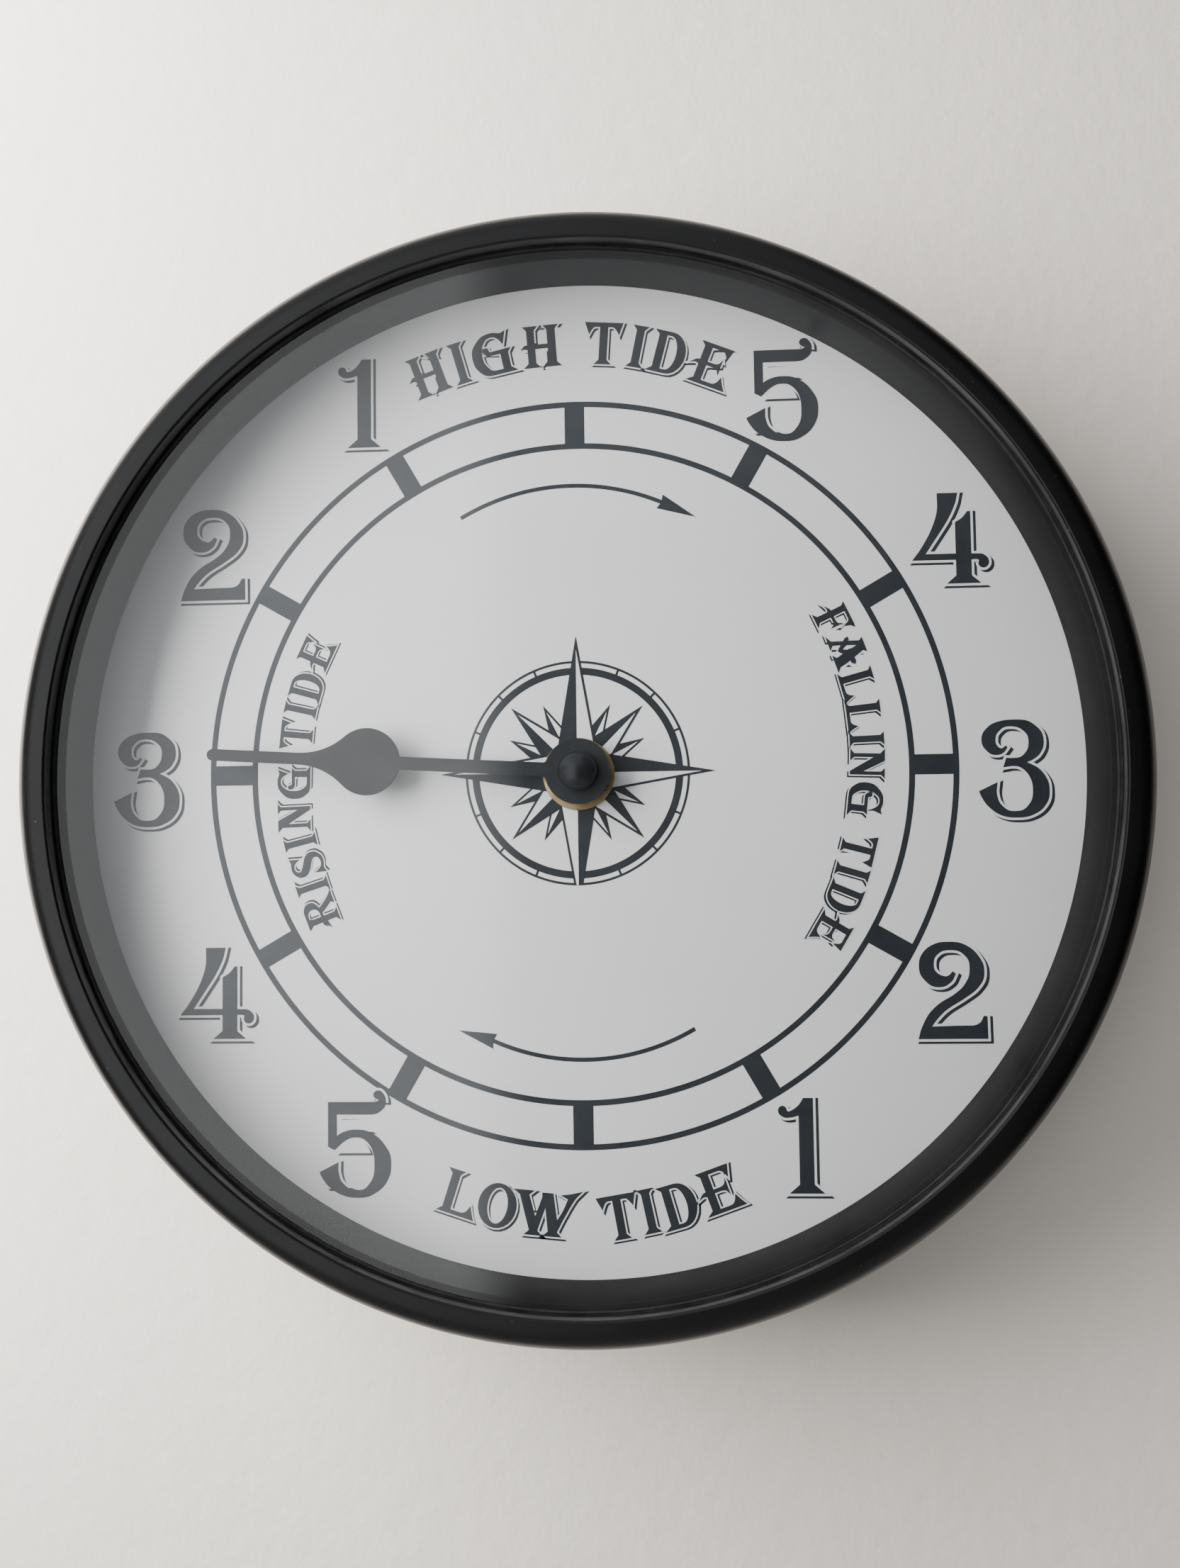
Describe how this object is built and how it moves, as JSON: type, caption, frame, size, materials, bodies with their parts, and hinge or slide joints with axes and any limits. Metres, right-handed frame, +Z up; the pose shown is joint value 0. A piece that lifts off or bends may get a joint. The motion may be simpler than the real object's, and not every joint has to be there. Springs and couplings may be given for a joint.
{
  "type": "tide clock",
  "caption": "Round black wall clock that shows the tide with one hand over a printed white dial, behind a flat lens, with a quartz movement and hanger at the back.",
  "frame": {"origin": "where the axis of the hand meets the plane of the case's back rim, which is the wall", "axes": "+Z up, +Y into the wall, the dial faces -Y, +X to the right as the dial is read"},
  "size_m": [0.25, 0.042, 0.25],
  "materials": {
    "case_plastic": "satin black moulded plastic",
    "ring_plastic": "polished black plastic",
    "lens_glass": "clear polished",
    "glue": "clear, glossy",
    "dial_card": "white satin card, printed in black",
    "plate_plastic": "matt black plastic",
    "screw_steel": "zinc plated",
    "rubber": "matt black",
    "brass": "plated, lightly aged",
    "hanger_steel": "bright zinc plated sheet",
    "movement_plastic": "fine spark texture",
    "board": "phenolic board",
    "crystal_can": "drawn can",
    "chip_resin": "epoxy blob",
    "motor_iron": "soft iron",
    "bobbin_plastic": "natural nylon",
    "copper": "enamelled copper wire",
    "cell_jacket": "plain printed jacket",
    "contact_steel": "nickel plated spring strip",
    "magnet": "bonded magnet",
    "gear_plastic": "white acetal",
    "knob_plastic": "moulded",
    "hand_black": "matt black lacquer",
    "cap_plastic": "satin black"
  },
  "bodies": {
    "clock_body": {"case_frame": "case_plastic", "spacer_ring": "ring_plastic", "glass_lens": "lens_glass", "lens_glue": "glue", "dial_card": "dial_card", "back_plate": "plate_plastic", "plate_screws": "screw_steel", "rubber_washer": "rubber", "brass_washer": "brass", "hex_nut": "brass", "threaded_bushing": "brass", "hanger_bracket": "hanger_steel", "hanger_tab": "hanger_steel", "movement_housing": "movement_plastic", "movement_rear_cover": "movement_plastic", "circuit_board": "board", "quartz_crystal": "crystal_can", "clock_chip": "chip_resin", "stator": "motor_iron", "coil_core": "motor_iron", "coil_bobbin": "bobbin_plastic", "coil_winding": "copper", "positive_contact": "contact_steel", "negative_contact": "contact_steel"},
    "battery": {"battery_cell": "cell_jacket"},
    "hand_group": {"tide_wheel": "gear_plastic", "tide_hand": "hand_black", "hand_cap": "cap_plastic"},
    "setting_group": {"motion_wheel": "gear_plastic", "setting_knob": "knob_plastic"},
    "centre_pinion_body": {"centre_pinion": "gear_plastic"},
    "centre_wheel_body": {"centre_wheel": "gear_plastic"},
    "third_wheel_body": {"third_wheel": "gear_plastic"},
    "seconds_wheel_body": {"seconds_wheel": "gear_plastic"},
    "intermediate_wheel_body": {"intermediate_wheel": "gear_plastic"},
    "rotor_body": {"rotor_pinion": "gear_plastic", "rotor_magnet": "magnet"}
  },
  "joints": [
    {"name": "tide_hand_spin", "type": "hinge", "parent": "clock_body", "child": "hand_group", "pos_m": [0, -0.026, 0], "axis": [0, 1, 0], "continuous": true},
    {"name": "setting_knob_spin", "type": "hinge", "parent": "clock_body", "child": "setting_group", "pos_m": [0.01, -0.008, 0], "axis": [0, 1, 0], "continuous": true},
    {"name": "centre_pinion_spin", "type": "hinge", "parent": "clock_body", "child": "centre_pinion_body", "pos_m": [0, -0.011, 0], "axis": [0, 1, 0], "continuous": true},
    {"name": "seconds_wheel_spin", "type": "hinge", "parent": "clock_body", "child": "seconds_wheel_body", "pos_m": [0.00331, -0.006, 0.01385], "axis": [0, 1, 0], "continuous": true},
    {"name": "third_wheel_spin", "type": "hinge", "parent": "clock_body", "child": "third_wheel_body", "pos_m": [-0.00242, -0.008, 0.00904], "axis": [0, 1, 0], "continuous": true},
    {"name": "centre_wheel_spin", "type": "hinge", "parent": "clock_body", "child": "centre_wheel_body", "pos_m": [0, -0.0095, 0], "axis": [0, 1, 0], "continuous": true},
    {"name": "intermediate_wheel_spin", "type": "hinge", "parent": "clock_body", "child": "intermediate_wheel_body", "pos_m": [0.00816, -0.005, 0.01665], "axis": [0, 1, 0], "continuous": true},
    {"name": "rotor_spin", "type": "hinge", "parent": "clock_body", "child": "rotor_body", "pos_m": [0.01358, -0.007, 0.01712], "axis": [0, 1, 0], "continuous": true},
    {"name": "battery_slide", "type": "slide", "parent": "clock_body", "child": "battery", "axis": [0, 1, 0], "range_m": [0, 0.016]}
  ],
  "couplings": [
    {"joint": "setting_knob_spin", "follows": "tide_hand_spin", "ratio": -4},
    {"joint": "centre_pinion_spin", "follows": "tide_hand_spin", "ratio": 12},
    {"joint": "third_wheel_spin", "follows": "seconds_wheel_spin", "ratio": -0.13333},
    {"joint": "centre_wheel_spin", "follows": "seconds_wheel_spin", "ratio": 0.016667},
    {"joint": "intermediate_wheel_spin", "follows": "seconds_wheel_spin", "ratio": -4},
    {"joint": "rotor_spin", "follows": "seconds_wheel_spin", "ratio": 30}
  ]
}
